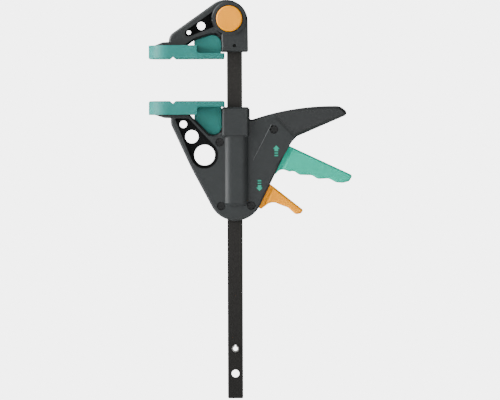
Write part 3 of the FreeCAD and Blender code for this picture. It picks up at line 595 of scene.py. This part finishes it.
def cheek_ring(sizes, step, rear, wide, inset):
    """Plan of one side of a pad's rear strip, as distances from the middle plane."""
    slope = (wide - sizes.strip_rear_width) / (rear - step)
    stretch = math.hypot(1.0, slope)
    radius = sizes.strip_corner
    centre_x = rear - radius
    centre_y = wide - (centre_x - step) * slope - radius * stretch
    end_angle = math.atan2(1.0, slope)
    ring = [(step - CHEEK_LAP, CHEEK_INNER), (rear - inset, CHEEK_INNER)]
    for i in range(CHEEK_STEPS + 1):
        angle = end_angle * i / CHEEK_STEPS
        reach = radius - inset
        ring.append((centre_x + reach * math.cos(angle), centre_y + reach * math.sin(angle)))
    ring.append((step, wide - inset * stretch))
    ring.append((step - CHEEK_LAP, wide - inset * stretch - CHEEK_LAP / 2))
    return ring


def corner_profile(sizes, step):
    """Outline of the rounded filler between a rear strip and the pad's step, as x and height."""
    radius = sizes.strip_inner_corner
    top = sizes.strip_height
    profile = [(step - CHEEK_LAP, top - CHEEK_LAP), (step - CHEEK_LAP, top + radius)]
    for i in range(CHEEK_STEPS + 1):
        angle = math.radians(90.0) * i / CHEEK_STEPS
        profile.append((step + radius * (1 - math.cos(angle)), top + radius * (1 - math.sin(angle))))
    profile.append((step + radius, top - CHEEK_LAP))
    return profile


def bridge_rings(mesh, rings):
    """Closes a stack of equal rings of points into a solid."""
    rows = [[mesh.verts.new(point) for point in ring] for ring in rings]
    for low, high in zip(rows, rows[1:]):
        for i, point in enumerate(low):
            j = (i + 1) % len(low)
            mesh.faces.new((point, low[j], high[j], high[i]))
    mesh.faces.new(rows[0])
    mesh.faces.new(rows[-1])


def strip_cheeks(name, pad, up, body, material, sizes):
    """Sides of a pad's rear strip and their rounded inner corners; up is 1 or -1, away from the face."""
    low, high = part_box(pad)
    face = low.z if up > 0 else high.z
    step = low.x * sizes.strip_step_share
    rear = high.x
    wide = high.y
    corner_reach = wide - sizes.strip_inner_corner * (wide - sizes.strip_rear_width) / (rear - step)
    levels = ((0.0, sizes.pad_edge), (sizes.pad_edge, 0.0), (sizes.strip_height, 0.0))
    form = bmesh.new()
    for side in (-1.0, 1.0):
        rings = []
        for height, inset in levels:
            plan = cheek_ring(sizes, step, rear, wide, inset)
            rings.append([(x, side * y, face + up * height) for x, y in plan])
        bridge_rings(form, rings)
        ends = []
        for y in (CHEEK_INNER, corner_reach):
            ends.append([(x, side * y, face + up * z) for x, z in corner_profile(sizes, step)])
        bridge_rings(form, ends)
    bmesh.ops.recalc_face_normals(form, faces=form.faces)
    piece = mesh_object(name, as_mesh(name, form), material, body)
    for polygon in piece.data.polygons:
        polygon.use_smooth = True
    soften(piece, sizes.edge_softening)


class CLAMP_OT_pads(bpy.types.Operator):
    """Soft teal pads of both jaws"""

    bl_idname = "clamp.pads"
    bl_label = "Finish the pads"

    def execute(self, context):
        finishes = context.scene.clamp_finishes
        sizes = context.scene.clamp_sizes
        pad = moulded_material(
            "pad_rubber", finishes.pad, gloss=(0.42, 0.55), grain=1500.0, depth=0.00002, drift=0.04,
            Specular_IOR_Level=0.12, Subsurface_Weight=0.12, Subsurface_Scale=0.002,
        )
        for name in ("fixed_pad", "moving_pad"):
            finish_node(name, pad, sizes.edge_softening)
        strip_cheeks("fixed_strip_cheeks", "fixed_pad", 1.0, "bar_head", pad, sizes)
        strip_cheeks("moving_strip_cheeks", "moving_pad", -1.0, "carriage", pad, sizes)
        return {"FINISHED"}


class CLAMP_OT_levers(bpy.types.Operator):
    """Trigger, release lever and button"""

    bl_idname = "clamp.levers"
    bl_label = "Finish the levers and the button"

    def execute(self, context):
        finishes = context.scene.clamp_finishes
        sizes = context.scene.clamp_sizes
        teal = moulded_material(
            "trigger_plastic", finishes.trigger, gloss=(0.36, 0.48), grain=1900.0, depth=0.000016,
            drift=0.04, Specular_IOR_Level=0.06, Subsurface_Weight=0.1, Subsurface_Scale=0.0015,
        )
        finish_node("trigger", teal, sizes.edge_softening)
        amber = moulded_material(
            "amber_plastic", finishes.amber, gloss=(0.34, 0.46), grain=1900.0, depth=0.000016,
            drift=0.04, Specular_IOR_Level=0.06, Subsurface_Weight=0.1, Subsurface_Scale=0.0015,
        )
        for name in ("release_lever", "release_button"):
            finish_node(name, amber, sizes.edge_softening)
        return {"FINISHED"}


class CLAMP_OT_mechanism(bpy.types.Operator):
    """Steel pieces inside the head and the carriage"""

    bl_idname = "clamp.mechanism"
    bl_label = "Finish the mechanism"

    def execute(self, context):
        finishes = context.scene.clamp_finishes
        bright = steel_material(
            "ground_steel", finishes.bright, gloss=(0.2, 0.35), stretch=(1.0, 0.05, 1.0), lines=2600.0,
            depth=0.00001, Metallic=1.0,
        )
        plate = steel_material(
            "stamped_plate", finishes.plate, gloss=(0.32, 0.46), stretch=(0.08, 1.0, 1.0), lines=2200.0,
            depth=0.00001, Metallic=0.9,
        )
        wire = steel_material(
            "spring_wire", finishes.spring, gloss=(0.28, 0.42), stretch=(1.0, 1.0, 1.0), lines=2600.0,
            depth=0.000006, Metallic=0.9,
        )
        for name in ("lock_plunger", "trigger_pin", "release_pin", "spring_seat"):
            finish_node(name, bright)
        for name in ("drive_plate_upper", "drive_plate_lower", "brake_plate"):
            finish_node(name, plate)
        finish_node("brake_spring", wire)
        low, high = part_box("button_spring")
        middle = (low + high) / 2
        self.add_spring(
            "button_spring", wire, "bar_head", "button",
            (middle.x, high.y, middle.z), (middle.x, low.y, middle.z),
        )
        low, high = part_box("drive_spring")
        middle = (low + high) / 2
        self.add_spring(
            "drive_spring", wire, "carriage", "drive_plates",
            (middle.x, middle.y, low.z), (middle.x, middle.y, high.z),
        )
        return {"FINISHED"}

    def add_spring(self, name, wire, seat, pusher, seat_end, pusher_end):
        """Copy of the built spring with the wire finish, left in the built one's place; the built one is
        hidden.
        """
        mesh = nodes[name].data.copy()
        mesh.materials.clear()
        mesh.materials.append(wire)
        piece = bpy.data.objects.new(name + "_working", mesh)
        bpy.context.scene.collection.objects.link(piece)
        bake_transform(piece)
        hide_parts(name)


def arrow_outlines(width, head, shaft, shaft_length, bars):
    """Outlines of an arrow that points up with its tip at the origin, and of the bars behind it."""
    half = width / 2
    thin = shaft / 2
    outlines = [[(0.0, 0.0), (half, -head), (-half, -head)]]
    for high, low in ((head, head + shaft_length),) + bars:
        outlines.append([(-thin, -high), (thin, -high), (thin, -low), (-thin, -low)])
    return outlines


def printed_shape(mesh, outlines, place, surface, thickness, flip):
    """Adds prints with a little thickness, laid on the surface that faces the front."""
    for outline in outlines:
        corners = []
        for x, z in outline:
            up = -z if flip else z
            corners.append(mesh.verts.new((place[0] + x, 0.0, place[1] + up)))
        face = mesh.faces.new(corners)
        cells = bmesh.ops.triangulate(mesh, faces=[face])["faces"]
        borders = {edge for cell in cells for edge in cell.edges}
        bmesh.ops.subdivide_edges(mesh, edges=list(borders), cuts=PRINT_CUTS, use_grid_fill=True)
    lay_on_surface(mesh, surface)
    for face in mesh.faces:
        face.normal_update()
        if face.normal.y > 0:
            face.normal_flip()
    made = bmesh.ops.extrude_face_region(mesh, geom=list(mesh.faces))
    raised = [item for item in made["geom"] if isinstance(item, bmesh.types.BMVert)]
    bmesh.ops.translate(mesh, verts=raised, vec=(0.0, -thickness, 0.0))


def lay_on_surface(mesh, surface):
    """Moves each point of a mesh back to the surface that lies behind it."""
    for point in mesh.verts:
        start = Vector((point.co.x, -PRINT_REACH, point.co.z))
        hit = surface.ray_cast(start, Vector((0.0, 1.0, 0.0)), 2 * PRINT_REACH)[0]
        if hit is None:
            raise RuntimeError("a print lies beside the surface that carries it")
        point.co.y = hit.y


class CLAMP_OT_arrows(bpy.types.Operator):
    """Two direction arrows and a painted highlight along the fold line on the front shell"""

    bl_idname = "clamp.arrows"
    bl_label = "Print the arrows"

    def execute(self, context):
        finishes = context.scene.clamp_finishes
        sizes = context.scene.clamp_sizes
        ink = moulded_material(
            "arrow_ink", finishes.arrow, gloss=(0.45, 0.6), grain=2300.0, depth=0.00001, drift=0.06,
            Specular_IOR_Level=0.1,
        )
        width = sizes.arrow_width
        bars = tuple((width * high, width * low) for high, low in ARROW_BAR_SHARES)
        outlines = arrow_outlines(
            width, width * ARROW_HEAD_SHARE, width * ARROW_SHAFT_SHARE, width * ARROW_LENGTH_SHARE, bars
        )
        surface = surface_tree(nodes["housing_front"].data)
        for name, place, flip in (("arrow_up", ARROW_UP, False), ("arrow_down", ARROW_DOWN, True)):
            self.add_print(name, outlines, place, surface, sizes.print_thickness, flip, ink, "teal_plastic")
        # Painted highlight: a lighter strip laid along the fold line's edge
        painted_highlight = moulded_material(
            "painted_crease_highlight", finishes.crease_highlight, gloss=(0.45, 0.6), grain=2300.0, depth=0.00001, drift=0.06
        )
        run = Vector((CREASE_LOW[0] - CREASE_TOP[0], CREASE_LOW[1] - CREASE_TOP[1]))
        side = Vector((-run.y, run.x)).normalized()
        wide = side * (sizes.crease_width / 2)
        thin = wide * CREASE_END_SHARE
        crease_highlight = [tuple(wide), tuple(-wide), tuple(run - thin), tuple(run + thin)]
        self.add_print(
            "crease_highlight_line", [crease_highlight], CREASE_TOP, surface, sizes.print_thickness, False, painted_highlight,
            "grey_moulding",
        )
        return {"FINISHED"}

    def add_print(self, name, outlines, place, surface, thickness, flip, material, slot):
        """One printed piece, or the fold line's painted highlight, on the front shell."""
        form = bmesh.new()
        printed_shape(form, outlines, place, surface, thickness, flip)
        bmesh.ops.recalc_face_normals(form, faces=form.faces)
        mesh_object(name, as_mesh(name, form), material, "carriage")


class CLAMP_OT_stage(bpy.types.Operator):
    """Pale floor, soft studio light and the camera"""

    bl_idname = "clamp.stage"
    bl_label = "Set the stage"

    def execute(self, context):
        stage = context.scene.clamp_stage
        self.add_floor(stage)
        self.add_lights(stage)
        self.add_camera(context, stage)
        return {"FINISHED"}

    def add_floor(self, stage):
        """Round pale floor under the clamp."""
        bar_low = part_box("bar")[0]
        form = bmesh.new()
        bmesh.ops.create_circle(form, cap_ends=True, segments=FLOOR_SEGMENTS, radius=stage.floor_radius)
        bmesh.ops.translate(form, verts=form.verts, vec=(0.0, 0.0, bar_low.z - stage.floor_drop))
        data = as_mesh("studio_floor", form)
        tone = stage.floor_tone
        paper = moulded_material(
            "paper_floor", (tone, tone, tone, 1.0), gloss=(0.75, 0.9), grain=300.0, depth=0.00002,
            drift=0.01,
        )
        data.materials.append(paper)
        floor = bpy.data.objects.new("studio_floor", data)
        bpy.context.scene.collection.objects.link(floor)

    def add_lights(self, stage):
        """Soft lights, an even sky, and a pale surround that only the camera sees."""
        world = bpy.data.worlds.new("studio_world")
        world.use_nodes = True
        tree = world.node_tree
        sky = tree.nodes["Background"]
        sky.inputs["Color"].default_value = WHITE
        seen = tree.nodes.new("ShaderNodeLightPath").outputs["Is Camera Ray"]
        strength = spread(tree, seen, (0.0, 1.0), (stage.sky_strength, stage.surround_strength))
        tree.links.new(strength, sky.inputs["Strength"])
        bpy.context.scene.world = world
        lamps = (
            ("key_light", (-1.7, -0.5, 0.3), 0.9, stage.key_power),
            ("top_light", (-1.1, -0.25, 1.1), 0.8, stage.top_power),
            ("fill_light", (0.3, -2.6, 0.6), 2.0, stage.fill_power),
            ("back_light", (0.9, 2.5, 1.2), 1.4, stage.back_power),
        )
        for name, place, size, power in lamps:
            data = bpy.data.lights.new(name, "AREA")
            data.shape = "SQUARE"
            data.size = size
            data.energy = power
            lamp = bpy.data.objects.new(name, data)
            lamp.location = place
            lamp.rotation_mode = "QUATERNION"
            lamp.rotation_quaternion = (LAMP_TARGET - Vector(place)).to_track_quat("-Z", "Y")
            bpy.context.scene.collection.objects.link(lamp)

    def add_camera(self, context, stage):
        """Long-lens camera square to the front."""
        data = bpy.data.cameras.new("photo_camera")
        data.sensor_width = CAMERA_SENSOR
        data.lens = data.sensor_width * stage.camera_distance / stage.picture_width
        data.clip_end = CAMERA_RANGE
        camera = bpy.data.objects.new("photo_camera", data)
        camera.matrix_world = (
            Matrix.Translation((CAMERA_PLACE[0], -stage.camera_distance, CAMERA_PLACE[1]))
            @ Matrix.Rotation(math.radians(90.0), 4, "X")
            @ Matrix.Rotation(CAMERA_ROLL, 4, "Z")
        )
        context.scene.collection.objects.link(camera)
        context.scene.camera = camera


class CLAMP_PT_panel(bpy.types.Panel):
    """Sidebar panel with the clamp's operators and settings"""

    bl_idname = "CLAMP_PT_panel"
    bl_label = "Bar clamp"
    bl_space_type = "VIEW_3D"
    bl_region_type = "UI"
    bl_category = "Clamp"

    def draw(self, context):
        """Buttons of the operators in order, then a box for each group of settings."""
        for step in STEPS:
            self.layout.operator(step.bl_idname)
        scene = context.scene
        for settings in (scene.clamp_finishes, scene.clamp_sizes, scene.clamp_stage):
            box = self.layout.box()
            for name in settings.__annotations__:
                box.prop(settings, name)


GROUPS = (ClampFinishes, ClampSizes, ClampStage)
STEPS = (
    CLAMP_OT_bar,
    CLAMP_OT_mouldings,
    CLAMP_OT_grip,
    CLAMP_OT_pads,
    CLAMP_OT_levers,
    CLAMP_OT_mechanism,
    CLAMP_OT_arrows,
    CLAMP_OT_stage,
)


def register():
    """Registers the classes and hangs the settings on the scene."""
    for item in GROUPS + STEPS + (CLAMP_PT_panel,):
        bpy.utils.register_class(item)
    bpy.types.Scene.clamp_finishes = bpy.props.PointerProperty(type=ClampFinishes)
    bpy.types.Scene.clamp_sizes = bpy.props.PointerProperty(type=ClampSizes)
    bpy.types.Scene.clamp_stage = bpy.props.PointerProperty(type=ClampStage)


def unregister():
    """Takes the settings and the classes away again."""
    del bpy.types.Scene.clamp_stage
    del bpy.types.Scene.clamp_sizes
    del bpy.types.Scene.clamp_finishes
    for item in reversed(GROUPS + STEPS + (CLAMP_PT_panel,)):
        bpy.utils.unregister_class(item)


def corners(bounds):
    """Both corners of a box as plain lists."""
    return [list(corner) for corner in bounds]


def main():
    """Registers the add-on and runs its operators in order."""
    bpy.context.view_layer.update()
    register()
    bpy.ops.clamp.bar()
    bpy.ops.clamp.mouldings()
    bpy.ops.clamp.grip()
    bpy.ops.clamp.pads()
    bpy.ops.clamp.levers()
    bpy.ops.clamp.mechanism()
    bpy.ops.clamp.arrows()
    bpy.ops.clamp.stage()


if __name__ == "__main__":
    main()
